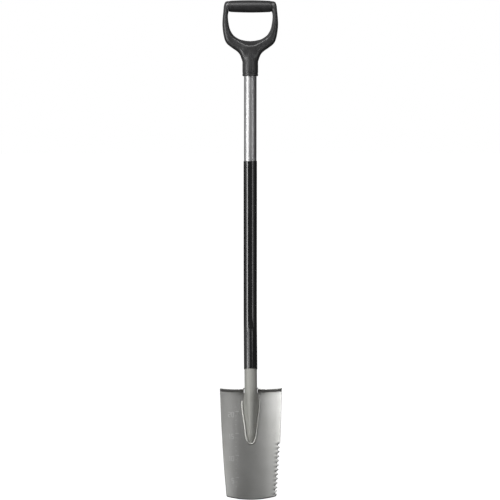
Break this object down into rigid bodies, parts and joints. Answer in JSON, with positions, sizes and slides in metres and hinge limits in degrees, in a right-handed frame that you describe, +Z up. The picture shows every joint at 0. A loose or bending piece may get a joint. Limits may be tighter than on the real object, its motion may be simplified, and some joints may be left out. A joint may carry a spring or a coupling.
{
  "type": "garden spade",
  "caption": "Long-handled planting spade with a D-handle, a sleeved tube shaft bent forward, and a narrow dished blade with folded treads and a saw-toothed side edge.",
  "frame": {"origin": "on the ground at the level of the cutting edge, under the middle of the tool's outer box", "axes": "+Z up along the straight part of the shaft, -Y the front that the dished face and the treads point to, +X the side of the serrated edge"},
  "size_m": [0.1426, 0.141, 1.131],
  "materials": {
    "blade_steel": "satin grey steel, ground along the teeth and the cutting edge",
    "weld_steel": "rippled weld bead under the shaft's grey paint",
    "shaft_paint": "warm grey semi-gloss paint",
    "upper_tube": "drawn, satin",
    "sleeve_plastic": "black, semi-gloss",
    "handle_plastic": "black, fine moulded texture",
    "grip_rubber": "black, soft-touch",
    "fastener_steel": "zinc-plated"
  },
  "bodies": {
    "root": {"blade": "blade_steel", "weld_bead": "weld_steel", "left_tread_weld": "weld_steel", "right_tread_weld": "weld_steel", "lower_shaft": "shaft_paint", "upper_shaft": "upper_tube", "shaft_sleeve": "sleeve_plastic", "joint_spigot": "fastener_steel", "lower_joint_pin": "fastener_steel", "upper_joint_pin": "fastener_steel", "handle_body": "handle_plastic", "crossbar_grip": "grip_rubber", "handle_screw": "fastener_steel"}
  },
  "joints": []
}
